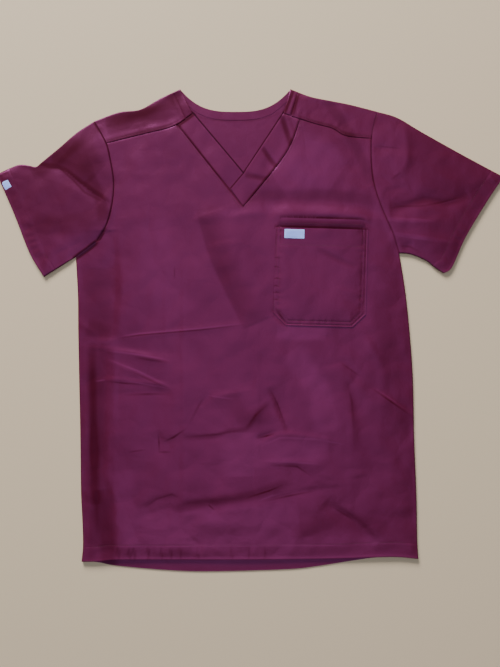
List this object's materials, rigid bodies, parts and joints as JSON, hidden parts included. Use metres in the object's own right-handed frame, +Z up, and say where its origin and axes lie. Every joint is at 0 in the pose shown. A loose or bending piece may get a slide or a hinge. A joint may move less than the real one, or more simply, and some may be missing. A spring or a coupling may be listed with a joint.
{
  "type": "medical scrub top laid flat",
  "caption": "Short-sleeved V-neck scrub top of woven cloth, laid flat face up, with a back yoke that wraps over the shoulders and a double chest pocket.",
  "frame": {"origin": "middle of the outline's box in plan, on the surface that the garment lies on", "axes": "+X across the garment from the wearer's right sleeve to the left one, +Y towards the neck, +Z up out of the front"},
  "size_m": [0.744, 0.7092, 0.0101],
  "materials": {
    "back": "plain woven cloth, matt with a faint cool sheen",
    "yoke": "plain woven cloth, matt with a faint cool sheen",
    "front": "plain woven cloth, matt with a faint cool sheen",
    "sleeve_left": "plain woven cloth, matt with a faint cool sheen",
    "sleeve_right": "plain woven cloth, matt with a faint cool sheen",
    "neckband_back": "plain woven cloth, folded double",
    "neckband_left": "plain woven cloth, folded double",
    "neckband_right": "plain woven cloth, folded double",
    "pocket_rear": "plain woven cloth, matt with a faint cool sheen",
    "pocket_front": "plain woven cloth, matt with a faint cool sheen",
    "pocket_tab": "smooth woven ribbon, plain",
    "sleeve_tab": "smooth woven ribbon, plain"
  },
  "bodies": {
    "root": {"back": "back", "yoke": "yoke", "front": "front", "sleeve_left": "sleeve_left", "sleeve_right": "sleeve_right", "neckband_back": "neckband_back", "neckband_left": "neckband_left", "neckband_right": "neckband_right", "pocket_rear": "pocket_rear", "pocket_front": "pocket_front", "pocket_tab": "pocket_tab", "sleeve_tab": "sleeve_tab"}
  },
  "joints": []
}
